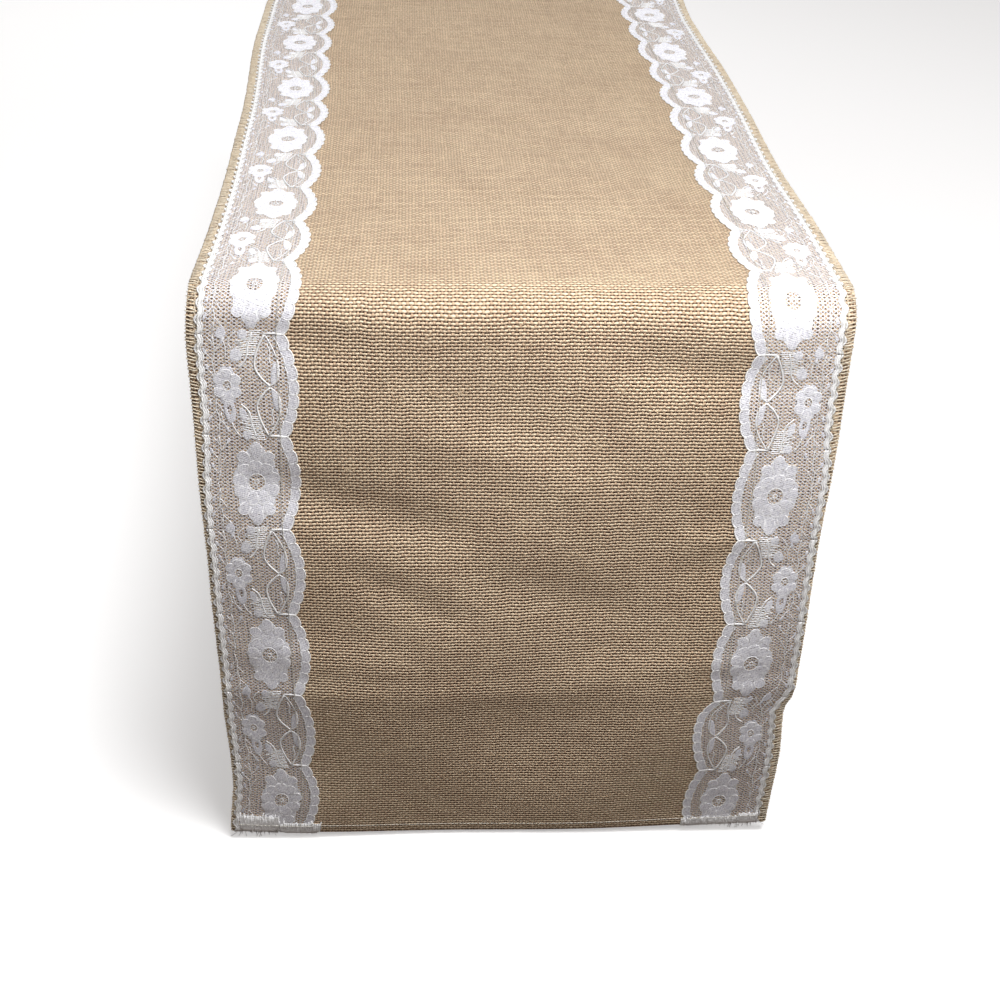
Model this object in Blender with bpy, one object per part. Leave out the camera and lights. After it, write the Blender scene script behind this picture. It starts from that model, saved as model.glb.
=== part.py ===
"""A burlap table runner edged with scalloped lace, laid over a table and hanging down both ends.

The cloth is one strip swept along a folded line: a turned-up hem, a hanging end, the bend over the
table's edge, the stretch on the table top, and the same again in reverse. Every other piece (lace,
overlocking, sewing threads) is swept along that same line, a little further out or further in, so
all of them follow the cloth when its length, its hem or the table changes.

The origin is the middle of the cloth's underside on the table top. X runs across the runner, Y along
it with one hanging end at -Y, and Z is up. All sizes are in metres.
"""

import math

import bmesh
import bpy

MM = 0.001

# The cloth and the table that it lies on.
CLOTH_WIDTH = 355 * MM
FINISHED_LENGTH = 1830 * MM          # hem fold to hem fold, along the cloth
CLOTH_THICKNESS = 1.0 * MM
TABLE_LENGTH = 1090 * MM             # outer face to outer face of the table top's two ends
TABLE_EDGE_RADIUS = 18 * MM          # how roundly the cloth bends over the table's edge
HEM_DEPTH = 10 * MM
HEM_SPACE = 1.5 * MM                 # between the two layers of a hem

# The lace trim along each long side.
LACE_WIDTH = 54 * MM                 # at the fullest part of a scallop
LACE_THICKNESS = 0.4 * MM
LACE_INSET = 4.8 * MM                # from the cloth's edge to the lace's straight edge
SCALLOP_PITCH = 59 * MM              # adjusted to give a whole number from hem fold to hem fold
SCALLOP_DEPTH = 7.5 * MM
SCALLOP_FULLNESS = 2.4               # 2 is a parabola, more is a squarer scallop
SCALLOP_STEPS = 8
RIGHT_LACE_SHIFT = -8 * MM           # the right lace lies this much nearer the front end

# The overlocking that binds each long edge of the cloth.
OVERLOCK_BITE = 4.2 * MM             # how far it reaches in over the cloth
OVERLOCK_THICKNESS = 0.3 * MM

# Sewing threads.
THREAD_WIDTH = 0.5 * MM
THREAD_THICKNESS = 0.3 * MM
OUTER_SEAM_INSET = 1.5 * MM          # from the lace's straight edge
INNER_SEAM_INSET = 43 * MM           # from the lace's straight edge, short of the notches
HEM_SEAM_HEIGHT = 7 * MM             # above the hem's fold

# Clearances.
GAP = 0.3 * MM                       # between pieces that touch on the real runner
UNDERSIDE_CLEARANCE = 0.05 * MM      # threads under the cloth stay this far off the table
EDGE_BEND_STEPS = 8
HEM_BEND_STEPS = 8
SAME_PLACE = 0.2 * MM                # two stations nearer than this are one

# Heights above the cloth's underside, along the cloth's own outward direction.
RECESS = UNDERSIDE_CLEARANCE + THREAD_THICKNESS + GAP
LACE_BASE = CLOTH_THICKNESS + GAP
LACE_FACE = LACE_BASE + LACE_THICKNESS
THREAD_ON_CLOTH = CLOTH_THICKNESS + GAP
THREAD_ON_LACE = LACE_FACE + GAP

# Lengths of the folded line, measured on the underside.
HEM_BEND_RADIUS = HEM_SPACE / 2
FOLD_TO_BEND = HEM_BEND_RADIUS + CLOTH_THICKNESS
HEM_LINE = HEM_DEPTH - FOLD_TO_BEND
HEM_BEND_LENGTH = math.pi * HEM_BEND_RADIUS
TOP_LINE = TABLE_LENGTH - 2 * TABLE_EDGE_RADIUS
EDGE_BEND_LENGTH = math.pi / 2 * TABLE_EDGE_RADIUS
DROP_LINE = (FINISHED_LENGTH - TOP_LINE) / 2 - EDGE_BEND_LENGTH - FOLD_TO_BEND


def folded_line():
    """The stretches of the folded line: (length, turn in radians, steps), from one raw end on."""
    half = [
        (HEM_LINE, 0.0, 1),
        (HEM_BEND_LENGTH, math.pi, HEM_BEND_STEPS),
        (DROP_LINE, 0.0, 1),
        (EDGE_BEND_LENGTH, math.pi / 2, EDGE_BEND_STEPS),
    ]
    return half + [(TOP_LINE, 0.0, 1)] + half[::-1]


LINE_LENGTH = sum(length for length, turn, steps in folded_line())


def station_at(distance):
    """Where the folded line is after a distance: (distance, y, z, heading)."""
    y = -TABLE_LENGTH / 2 + HEM_SPACE
    z = -TABLE_EDGE_RADIUS - DROP_LINE + HEM_LINE
    heading = -math.pi / 2
    left = distance
    for length, turn, steps in folded_line():
        run = min(left, length)
        if turn:
            radius = length / turn
            swing = run / radius
            centre_y = y + radius * math.sin(heading)
            centre_z = z - radius * math.cos(heading)
            heading -= swing
            y = centre_y - radius * math.sin(heading)
            z = centre_z + radius * math.cos(heading)
        else:
            y += run * math.cos(heading)
            z += run * math.sin(heading)
        left -= run
        if left <= 0:
            break
    return distance, y, z, heading


def bend_distances():
    """Distances where the folded line starts, ends or turns."""
    found = [0.0]
    for length, turn, steps in folded_line():
        start = found[-1]
        found += [start + length * (step + 1) / steps for step in range(steps)]
    return found


def stations(start=0.0, end=LINE_LENGTH, extra=()):
    """Stations from start to end: every bend between them, and any extra distances."""
    inside = [d for d in sorted(bend_distances() + list(extra))
              if start + SAME_PLACE < d < end - SAME_PLACE]
    kept = [start]
    for distance in inside:
        if distance - kept[-1] > SAME_PLACE:
            kept.append(distance)
    return [station_at(distance) for distance in kept + [end]]


def place(station, across, out):
    """A point at a station: so far across the runner, so far out from the cloth's underside."""
    distance, y, z, heading = station
    return across, y - out * math.sin(heading), z + out * math.cos(heading)


def sweep(name, material, section_at, along):
    """Sweep a section, a list of (across, out) points that may change with distance, to a solid."""
    bm = bmesh.new()
    rings = [[bm.verts.new(place(station, across, out)) for across, out in section_at(station[0])]
             for station in along]
    for ring, following in zip(rings, rings[1:]):
        for i in range(len(ring)):
            j = (i + 1) % len(ring)
            bm.faces.new((ring[i], ring[j], following[j], following[i]))
    bm.faces.new(rings[0])
    bm.faces.new(rings[-1])
    bmesh.ops.recalc_face_normals(bm, faces=bm.faces)
    mesh = bpy.data.meshes.new(name)
    bm.to_mesh(mesh)
    bm.free()
    mesh.shade_smooth()
    mesh.set_sharp_from_angle(angle=math.radians(30))
    mesh.materials.append(material)
    piece = bpy.data.objects.new(name, mesh)
    bpy.context.collection.objects.link(piece)
    return piece


def plain_material(name, colour, roughness):
    material = bpy.data.materials.new(name)
    material.use_nodes = True
    shader = material.node_tree.nodes["Principled BSDF"]
    shader.inputs["Base Color"].default_value = (*colour, 1.0)
    shader.inputs["Roughness"].default_value = roughness
    shader.inputs["Metallic"].default_value = 0.0
    return material


# Distances across the runner, from its middle to one side.
CLOTH_EDGE = CLOTH_WIDTH / 2
LACE_EDGE = CLOTH_EDGE - LACE_INSET
OUTER_SEAM = LACE_EDGE - OUTER_SEAM_INSET
INNER_SEAM = LACE_EDGE - INNER_SEAM_INSET
EDGE_RECESS = CLOTH_EDGE - OVERLOCK_BITE - GAP
GROOVE_HALF_WIDTH = THREAD_WIDTH / 2 + GAP

FITTED_PITCH = FINISHED_LENGTH / round(FINISHED_LENGTH / SCALLOP_PITCH)
FOLD_DISTANCE = HEM_LINE + HEM_BEND_LENGTH - FOLD_TO_BEND
NOTCH_DISTANCE = {-1: FOLD_DISTANCE, 1: FOLD_DISTANCE + RIGHT_LACE_SHIFT}


def scallop_edge(side, distance):
    """How far from the runner's middle one lace's scalloped edge is at a distance."""
    phase = (distance - NOTCH_DISTANCE[side]) / FITTED_PITCH % 1.0
    bulge = 1 - abs(2 * phase - 1) ** SCALLOP_FULLNESS
    return LACE_EDGE - LACE_WIDTH + SCALLOP_DEPTH * (1 - bulge)


def scallop_marks(side):
    """Distances that divide every scallop of one lace into equal steps."""
    step = FITTED_PITCH / SCALLOP_STEPS
    first = NOTCH_DISTANCE[side] % step
    return [first + step * count for count in range(int(LINE_LENGTH / step) + 1)]


def burlap_section(distance):
    """The cloth's section: thinned at its bound edges and grooved for the threads beneath."""
    right_underside = []
    for seam in (INNER_SEAM, OUTER_SEAM):
        right_underside += [(seam - GROOVE_HALF_WIDTH, 0.0), (seam - GROOVE_HALF_WIDTH, RECESS),
                            (seam + GROOVE_HALF_WIDTH, RECESS), (seam + GROOVE_HALF_WIDTH, 0.0)]
    right_underside += [(EDGE_RECESS, 0.0), (EDGE_RECESS, RECESS), (CLOTH_EDGE, RECESS)]
    left_underside = [(-across, out) for across, out in reversed(right_underside)]
    face = [(CLOTH_EDGE, CLOTH_THICKNESS), (-CLOTH_EDGE, CLOTH_THICKNESS)]
    return left_underside + right_underside + face


def lace_section(side):
    """A flat band from the lace's straight edge to its scalloped edge."""
    def section(distance):
        straight, scalloped = side * LACE_EDGE, side * scallop_edge(side, distance)
        return [(straight, LACE_BASE), (scalloped, LACE_BASE),
                (scalloped, LACE_FACE), (straight, LACE_FACE)]
    return section


def overlock_section(side):
    """A channel that holds the cloth's edge: one leg beneath it, one leg on it."""
    inner, wall = CLOTH_EDGE - OVERLOCK_BITE, CLOTH_EDGE + GAP
    outer = wall + OVERLOCK_THICKNESS
    under, under_top = UNDERSIDE_CLEARANCE, UNDERSIDE_CLEARANCE + OVERLOCK_THICKNESS
    over, over_top = THREAD_ON_CLOTH, THREAD_ON_CLOTH + OVERLOCK_THICKNESS
    outline = [(inner, under), (outer, under), (outer, over_top), (inner, over_top),
               (inner, over), (wall, over), (wall, under_top), (inner, under_top)]
    return lambda distance: [(side * across, out) for across, out in outline]


def thread_section(across, base):
    """A thread that runs along the runner."""
    low, high = across - THREAD_WIDTH / 2, across + THREAD_WIDTH / 2
    top = base + THREAD_THICKNESS
    return lambda distance: [(low, base), (high, base), (high, top), (low, top)]


def hem_thread_section(seam_start, seam_end):
    """A thread across the runner that lies on the cloth and climbs onto the lace at each side."""
    lace_inner = min(scallop_edge(side, distance) for side in (-1, 1)
                     for distance in (seam_start, seam_end))
    climb = lace_inner - GAP
    right_under = [(climb, THREAD_ON_CLOTH), (climb, THREAD_ON_LACE), (LACE_EDGE, THREAD_ON_LACE)]
    right_over = [(LACE_EDGE, THREAD_ON_LACE + THREAD_THICKNESS),
                  (climb - THREAD_THICKNESS, THREAD_ON_LACE + THREAD_THICKNESS),
                  (climb - THREAD_THICKNESS, THREAD_ON_CLOTH + THREAD_THICKNESS)]
    right = right_under + right_over
    outline = right + [(-across, out) for across, out in reversed(right)]
    return lambda distance: outline


def build_runner():
    for old in list(bpy.data.objects):
        bpy.data.objects.remove(old, do_unlink=True)

    burlap = plain_material("burlap", (0.56, 0.44, 0.28), 0.95)
    lace = plain_material("lace", (0.82, 0.82, 0.85), 0.8)
    edging = plain_material("edging_thread", (0.66, 0.55, 0.40), 0.85)
    sewing = plain_material("sewing_thread", (0.80, 0.77, 0.70), 0.7)

    sweep("burlap_panel", burlap, burlap_section, stations())

    for side, side_name in ((-1, "left"), (1, "right")):
        sweep(f"lace_{side_name}", lace, lace_section(side), stations(extra=scallop_marks(side)))
        sweep(f"overlock_{side_name}", edging, overlock_section(side), stations())

    # A hem's seam goes through both its layers, at one height above the fold.
    seam_from_bend = HEM_SEAM_HEIGHT - FOLD_TO_BEND
    inner_layer_seam = HEM_LINE - seam_from_bend
    outer_layer_seam = HEM_LINE + HEM_BEND_LENGTH + seam_from_bend
    half = THREAD_WIDTH / 2

    lace_seam_start = outer_layer_seam + half + GAP
    lace_seam_line = stations(lace_seam_start, LINE_LENGTH - lace_seam_start)
    for side, side_name in ((-1, "left"), (1, "right")):
        for seam, seam_name in ((OUTER_SEAM, "outer"), (INNER_SEAM, "inner")):
            name = f"lace_{seam_name}_seam_{side_name}"
            sweep(f"{name}_needle_thread", sewing,
                  thread_section(side * seam, THREAD_ON_LACE), lace_seam_line)
            sweep(f"{name}_bobbin_thread", sewing,
                  thread_section(side * seam, UNDERSIDE_CLEARANCE), lace_seam_line)

    for end_name, mirrored in (("front", False), ("rear", True)):
        for layer, middle in (("needle", outer_layer_seam), ("bobbin", inner_layer_seam)):
            centre = LINE_LENGTH - middle if mirrored else middle
            start, end = centre - half, centre + half
            sweep(f"hem_{end_name}_{layer}_thread", sewing,
                  hem_thread_section(start, end), stations(start, end))


build_runner()
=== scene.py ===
# %% [markdown]
# # A burlap and lace table runner
#
# The real runner is a strip of jute hessian with a strip of scalloped lace sewn along each long side. It
# lies on a table and hangs down at both ends. Cloth is easiest to design flat and then drape, so every
# piece here is first made on a flat pattern: u is the distance across the runner, v the distance along it
# from its middle, and h the height above the cloth's underside. One function then carries flat points
# on to the draped cloth. Whatever the cloth does, its lace, stitches and edging follow.

# %% Tools and the packed model
import math

import bmesh
import bpy
import numpy as np
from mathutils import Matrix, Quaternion, Vector


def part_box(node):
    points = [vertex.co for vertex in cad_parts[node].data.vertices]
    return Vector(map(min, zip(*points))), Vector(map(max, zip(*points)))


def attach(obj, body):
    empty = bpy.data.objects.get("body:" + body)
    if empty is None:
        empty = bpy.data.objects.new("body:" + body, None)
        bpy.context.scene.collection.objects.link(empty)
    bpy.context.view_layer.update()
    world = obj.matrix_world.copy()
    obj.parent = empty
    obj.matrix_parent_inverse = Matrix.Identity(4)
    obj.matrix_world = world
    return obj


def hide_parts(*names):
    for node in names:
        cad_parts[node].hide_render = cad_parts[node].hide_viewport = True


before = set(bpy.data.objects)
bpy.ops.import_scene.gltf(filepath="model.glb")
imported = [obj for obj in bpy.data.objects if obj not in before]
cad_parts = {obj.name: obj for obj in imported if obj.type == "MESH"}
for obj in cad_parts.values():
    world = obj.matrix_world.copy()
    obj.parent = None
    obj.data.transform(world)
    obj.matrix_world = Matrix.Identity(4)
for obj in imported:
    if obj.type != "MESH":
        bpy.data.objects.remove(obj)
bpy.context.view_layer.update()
MM = 0.001

# %% [markdown]
# ## Sizes
#
# The packed model fixes where the cloth is. Its box gives the width, the table's length, the drop and the
# thickness. Only what a box can't show is stated again, such as how round the bend over the table is.

# %% Sizes read from the packed model
cloth_low, cloth_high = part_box("burlap_panel")
THICKNESS = cloth_high.z
HALF_WIDTH = cloth_high.x
HALF_TABLE = cloth_high.y - THICKNESS
FOLD_DROP = -cloth_low.z
HEM_BEND = 0.75 * MM
HEM_DEPTH = 10 * MM
TABLE_ROUNDING = 18 * MM

lace_low, lace_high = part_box("lace_left")
LACE_EDGE = -lace_low.x
LACE_WIDTH = lace_high.x - lace_low.x
LACE_LEVEL = THICKNESS + 0.35 * MM

EDGE_BEND = math.pi / 2 * TABLE_ROUNDING
HALF_TOP = HALF_TABLE - TABLE_ROUNDING
DROP = FOLD_DROP - TABLE_ROUNDING - HEM_BEND - THICKNESS
HEM_START = HALF_TOP + EDGE_BEND + DROP
FOLD = HEM_START + HEM_BEND + THICKNESS
RAW_END = HEM_START + math.pi * HEM_BEND + HEM_DEPTH - HEM_BEND - THICKNESS
print(f"cloth {2 * HALF_WIDTH:.3f} m wide, {2 * FOLD:.3f} m from fold to fold, {2 * RAW_END:.3f} m cut")

# %% [markdown]
# ## Draping
#
# A grid of points stands for the middle of the draped cloth. It starts as a clean fold over the table,
# then gets what real cloth has: an old packing crease low on each hanging end, shallow waves, and a small
# tuck under the table's edge. Between the grid's points a smooth cubic fills in, and at each end the hem
# is turned up by formula, because a 2 mm fold is far finer than any grid.

# %% The clean fold
GRID_U, GRID_V = 37, 187
CREASE_DROP = 262 * MM


def smoothstep(low, high, x):
    t = np.clip((x - low) / (high - low), 0, 1)
    return t * t * (3 - 2 * t)


def clean_fold(v):
    """Where the underside of an undisturbed cloth is at a distance v along it: (y, z)."""
    s, end = np.abs(v), np.sign(v)
    turn = np.clip((s - HALF_TOP) / TABLE_ROUNDING, 0, math.pi / 2)
    y = np.minimum(s, HALF_TOP) + TABLE_ROUNDING * np.sin(turn)
    z = -TABLE_ROUNDING * (1 - np.cos(turn)) - np.maximum(s - HALF_TOP - EDGE_BEND, 0)
    return y * end, z


# %% Edges that wander
# Stops of (distance from the nearer fold, sideways shift), in millimetres.
LEFT_WANDER = ((0, 1), (45, 4.5), (110, 2), (200, 0), (270, -2), (340, -1), (390, 2), (660, 1.6),
               (870, -4))
RIGHT_WANDER = ((0, 0), (60, 1.5), (105, -1), (220, -1.5), (300, 1), (400, 1.5), (600, -1),
                (780, 2), (890, -1))


def soft_bump(x, centre, width):
    return np.exp(-((x - centre) / width) ** 2)


def wander(stops, v):
    """A sideways shift, in metres, that eases between (millimetres from the nearer fold, shift) stops."""
    from_fold = (FOLD - np.abs(v)) / MM
    shift = np.full_like(from_fold, float(stops[0][1]))
    for (near, first), (far, last) in zip(stops, stops[1:]):
        shift += (last - first) * smoothstep(near, far, from_fold)
    return shift * MM


print("edges wander by up to", max(abs(shift) for place, shift in LEFT_WANDER + RIGHT_WANDER), "mm")


# %% Soft folds
# Each runs from one (across, up from the hem) to another, then its half width and height, in millimetres.
FOLDS = ((-150, 268, -33, 232, 14, -1.9), (-95, 208, -30, 172, 9, -1.1),
         (60, 338, 150, 330, 11, -1.5), (95, 224, 150, 228, 9, 1.1), (-150, 352, -85, 350, 9, -0.9),
         (-60, 300, 40, 262, 16, 1.2), (-20, 205, 70, 176, 13, -0.8),
         (-160, 150, -60, 138, 10, 0.8), (30, 130, 150, 142, 9, 0.9))
FOLD_STRENGTH = 1.7


def fold_relief(u, v):
    """The height of the soft folds at flat (u, v)."""
    x, y = u / MM, (FOLD - np.abs(v)) / MM
    relief = np.zeros_like(x)
    for x0, y0, x1, y1, width, height in FOLDS:
        length = math.hypot(x1 - x0, y1 - y0)
        along = ((x - x0) * (x1 - x0) + (y - y0) * (y1 - y0)) / length
        aside = ((x - x0) * (y1 - y0) - (y - y0) * (x1 - x0)) / length
        start = smoothstep(-0.25 * length, 0.25 * length, along)
        finish = smoothstep(1.25 * length, 0.75 * length, along)
        relief += height * soft_bump(aside, 0, width) * start * finish
    return FOLD_STRENGTH * relief * MM


print(len(FOLDS), "soft folds")


# %% The tuck, the waves and the packing crease
CREASE_HEIGHT, CREASE_SPREAD = 0.9 * MM, 9 * MM
SWING_BACK, SWING_TWIST = 0.080, 0.014
MIDDLE_SAG = 5 * MM


def disturb(u, v, y, z):
    """Moves clean points by what handling and packing leave in the cloth."""
    end = np.sign(v)
    q = u / HALF_WIDTH
    hanging = smoothstep(HALF_TOP, HALF_TOP + EDGE_BEND, np.abs(v))
    below = np.maximum(-z - CREASE_DROP, 0)
    depth = np.clip(-z / CREASE_DROP, 0, 1)
    stand_off = 2 * MM * (np.sin(math.pi * depth) - depth)
    swing = below * (SWING_BACK + SWING_TWIST * q)
    crease = CREASE_HEIGHT * soft_bump(-z, CREASE_DROP - 3 * MM, CREASE_SPREAD)
    wave = (1.8 * MM * np.sin(21 * u + 9 * v + 0.6) * np.sin(11 * v - 7 * u)
            + 1.1 * MM * np.sin(34 * u - 26 * v + 2.0)
            + 0.6 * MM * np.sin(63 * v + 12 * u) * np.sin(25 * u + 1.3))
    lift = 0.7 * MM * (1 + np.sin(17 * u + 31 * v)) * (1 - hanging)
    lift *= smoothstep(0, 0.1, HALF_TOP - np.abs(v))
    out = hanging * (stand_off + wave + crease - swing + fold_relief(u, v))
    left, right = smoothstep(0.02, -HALF_WIDTH, u), smoothstep(0.02, HALF_WIDTH, u)
    flare = soft_bump(np.abs(v), HALF_TOP + EDGE_BEND / 2, 70 * MM)
    x = u + left * (wander(LEFT_WANDER, v) - 4 * MM * flare) + right * wander(RIGHT_WANDER, v)
    x -= right * 5 * MM * smoothstep(0, 20 * MM, below)
    sag = (MIDDLE_SAG * (1 - q * q) + 0.7 * MM * (1 - q)) * smoothstep(0, CREASE_DROP, -z)
    return x, y + end * out, z + lift - sag


grid_u = np.linspace(-HALF_WIDTH, HALF_WIDTH, GRID_U)
grid_v = np.linspace(-HEM_START, HEM_START, GRID_V)
flat_u, flat_v = np.meshgrid(grid_u, grid_v, indexing="ij")
drape_grid = np.stack(disturb(flat_u, flat_v, *clean_fold(flat_v)), axis=-1)
print("drape grid:", drape_grid.shape[:2], "points")


# %% A smooth surface through the grid
def cubic_weights(t):
    """Catmull-Rom weights of the four neighbours at t, and how they change with t."""
    w = np.stack([-t**3 + 2 * t**2 - t, 3 * t**3 - 5 * t**2 + 2, -3 * t**3 + 4 * t**2 + t, t**3 - t**2]) / 2
    d = np.stack([-3 * t**2 + 4 * t - 1, 9 * t**2 - 10 * t, -9 * t**2 + 8 * t + 1, 3 * t**2 - 2 * t]) / 2
    return w, d


def padded_grid(grid):
    """The grid with one more row on each side, carried straight on."""
    grid = np.concatenate([2 * grid[:1] - grid[1:2], grid, 2 * grid[-1:] - grid[-2:-1]], axis=0)
    return np.concatenate([2 * grid[:, :1] - grid[:, 1:2], grid, 2 * grid[:, -1:] - grid[:, -2:-1]], axis=1)


def surface(u, v):
    """The draped underside at flat (u, v), and its directions across, along and outwards."""
    padded = padded_grid(drape_grid)
    step_u, step_v = grid_u[1] - grid_u[0], grid_v[1] - grid_v[0]
    at_u, at_v = (u - grid_u[0]) / step_u, (v - grid_v[0]) / step_v
    cell_u = np.clip(np.floor(at_u).astype(int), 0, GRID_U - 2)
    cell_v = np.clip(np.floor(at_v).astype(int), 0, GRID_V - 2)
    weight_u, change_u = cubic_weights(np.clip(at_u - cell_u, 0, 1))
    weight_v, change_v = cubic_weights(np.clip(at_v - cell_v, 0, 1))
    point, across, along = (np.zeros((len(u), 3)) for _ in range(3))
    for i in range(4):
        for j in range(4):
            corner = padded[cell_u + i, cell_v + j]
            point += corner * (weight_u[i] * weight_v[j])[:, None]
            across += corner * (change_u[i] * weight_v[j] / step_u)[:, None]
            along += corner * (weight_u[i] * change_v[j] / step_v)[:, None]
    beyond = at_u - np.clip(at_u, 0, GRID_U - 1)
    point += across * (beyond * step_u)[:, None]
    out = np.cross(across, along)
    out /= np.linalg.norm(out, axis=1)[:, None]
    along /= np.linalg.norm(along, axis=1)[:, None]
    return point, along, out


# %% From flat points to draped points
def drape(flat):
    """Carries flat (u, v, h) points on to the draped cloth, round the turned-up hems as well."""
    u, v, h = flat.T
    point, along, out = surface(u, np.clip(v, -HEM_START, HEM_START))
    over = np.maximum(np.abs(v) - HEM_START, 0)
    turn = np.minimum(over / HEM_BEND, math.pi)[:, None]
    onward = along * np.sign(v)[:, None]
    point = point + onward * HEM_BEND * np.sin(turn) - out * HEM_BEND * (1 - np.cos(turn))
    straight = np.maximum(over - math.pi * HEM_BEND, 0)[:, None]
    point += (onward * np.cos(turn) - out * np.sin(turn)) * straight
    return point + (out * np.cos(turn) + onward * np.sin(turn)) * h[:, None]


trial = drape(np.array([[0, 0, THICKNESS], [0, -FOLD, 0], [-HALF_WIDTH, -RAW_END, 0]]))
print("middle, front fold and raw corner:", np.round(trial, 4).tolist())

# %% [markdown]
# ## Shader maths as Python
#
# A weave is a formula: which yarn is on top, how round it is, where the holes are. Written as nodes it
# would be hard to read, so one small class lets a node's output be used in ordinary Python expressions.


# %% A wire that can be added, multiplied and compared
class Wire:
    """One number flowing through a material. Arithmetic on it adds Math nodes."""

    def __init__(self, tree, socket):
        self.tree, self.socket = tree, socket

    def math(self, operation, *values):
        return add_node(self.tree, "ShaderNodeMath", {"operation": operation}, dict(enumerate(values)))

    def __add__(self, other):
        return self.math("ADD", self, other)

    def __sub__(self, other):
        return self.math("SUBTRACT", self, other)

    def __rsub__(self, other):
        return self.math("SUBTRACT", other, self)

    def __mul__(self, other):
        return self.math("MULTIPLY", self, other)

    def __truediv__(self, other):
        return self.math("DIVIDE", self, other)

    def __pow__(self, other):
        return self.math("POWER", self, other)

    __radd__, __rmul__ = __add__, __mul__

    def floor(self):
        return self.math("FLOOR", self)

    def fraction(self):
        return self.math("FRACT", self)

    def sine(self):
        return self.math("SINE", self)

    def root(self):
        return self.math("SQRT", self)

    def size(self):
        return self.math("ABSOLUTE", self)

    def at_least(self, other):
        return self.math("MAXIMUM", self, other)

    def over(self, other):
        return self.math("GREATER_THAN", self, other)

    def modulo(self, other):
        return self.math("FLOORED_MODULO", self, other)

    def ramp(self, low, high):
        """0 below low, 1 above high, smooth between."""
        return add_node(self.tree, "ShaderNodeMapRange", {"interpolation_type": "SMOOTHSTEP"},
                        {"Value": self, "From Min": low, "From Max": high})


# %% Adding a node, and mixing two colours
def add_node(tree, kind, settings=None, sockets=None, output=0):
    """Adds a node: its settings first, then its sockets' values or wires. Returns an output wire."""
    node = tree.nodes.new(kind)
    for name, value in (settings or {}).items():
        setattr(node, name, value)
    for name, value in (sockets or {}).items():
        if isinstance(value, Wire):
            tree.links.new(value.socket, node.inputs[name])
        else:
            node.inputs[name].default_value = value
    return Wire(tree, node.outputs[output])


def mix_colours(tree, share, first, second):
    """Colour first where share is 0 and second where it is 1."""
    node = tree.nodes.new("ShaderNodeMix")
    node.data_type = "RGBA"
    for socket, value in ((node.inputs[0], share), (node.inputs[6], first), (node.inputs[7], second)):
        if isinstance(value, Wire):
            tree.links.new(value.socket, socket)
        else:
            socket.default_value = value if isinstance(value, float) else (*value, 1.0)
    return Wire(tree, node.outputs[2])


print("a wire knows", sum(callable(value) for value in vars(Wire).values()), "operations")


# %% Noise, cloth coordinates and a fresh material
def new_material(name, roughness):
    material = bpy.data.materials.new(name)
    material.use_nodes = True
    shader = material.node_tree.nodes["Principled BSDF"]
    shader.inputs["Roughness"].default_value = roughness
    shader.inputs["Specular IOR Level"].default_value = 0.25
    return material, material.node_tree, shader


def cloth_coordinates(tree):
    """Distances across and along the cloth, in metres, from the piece's own UV map."""
    coordinates = tree.nodes.new("ShaderNodeUVMap")
    coordinates.uv_map = "cloth"
    split = tree.nodes.new("ShaderNodeSeparateXYZ")
    tree.links.new(coordinates.outputs[0], split.inputs[0])
    return Wire(tree, split.outputs[0]), Wire(tree, split.outputs[1])


def noise(tree, x, y, z=0.0, detail=1.0):
    """Smooth noise from 0 to 1 at (x, y, z)."""
    place = add_node(tree, "ShaderNodeCombineXYZ", None, {0: x, 1: y, 2: z})
    return add_node(tree, "ShaderNodeTexNoise", None, {"Vector": place, "Scale": 1.0, "Detail": detail})


def feed(tree, shader, name, wire):
    tree.links.new(wire.socket, shader.inputs[name])


def bump(tree, shader, height, distance):
    feed(tree, shader, "Normal",
         add_node(tree, "ShaderNodeBump", None, {"Height": height, "Distance": distance}))


def describe(material):
    print(f"{material.name}: {len(material.node_tree.nodes)} nodes")
    return material


# %% [markdown]
# ## Burlap
#
# Hessian is a plain weave of single jute yarns, about 12 to the inch. Each warp yarn passes over one weft
# yarn and under the next. Yarns are hairy, uneven and never quite parallel, and square holes are left
# between them. All of that is a formula of the cloth coordinates, so the weave follows the drape. The
# holes and the yarns' flanks are coloured with painted shade, and the yarns' crowns with a painted highlight.

# %% Burlap yarns
WARP_PITCH = 1.98 * MM
WEFT_PITCH = 2.02 * MM
# Painted highlight colour, which the yarns' crowns are lightened towards.
JUTE_PAINTED_HIGHLIGHT = (1.0, 0.84, 0.61)
JUTE = (0.63, 0.43, 0.27)
JUTE_DARK = (0.31, 0.155, 0.09)
# Painted shade: the near-black brown of the holes and of the yarns' deep flanks.
PAINTED_HOLE_SHADE = (0.040, 0.016, 0.012)
HAIR_WIDTH, HAIR_LENGTH = 0.22 * MM, 1.6 * MM
YARN_RELIEF = 1.15 * MM
MANY = 1000  # keeps yarn numbers positive all over the cloth


def yarn(tree, place, along, half_width):
    """One set of parallel yarns: (yarn number, offset from its middle, roundness, its own tone)."""
    number = place.floor()
    offset = place.fraction() - 0.5
    swelling = noise(tree, number * 7.31, along / (9 * MM), detail=2.0)
    half = half_width * (0.66 + 0.68 * swelling)
    roundness = (1 - (offset / half) ** 2).at_least(0).root()
    tone = noise(tree, number * 3.77, along / (35 * MM), 4.0, detail=2.0)
    return number, offset, roundness, tone


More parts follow.
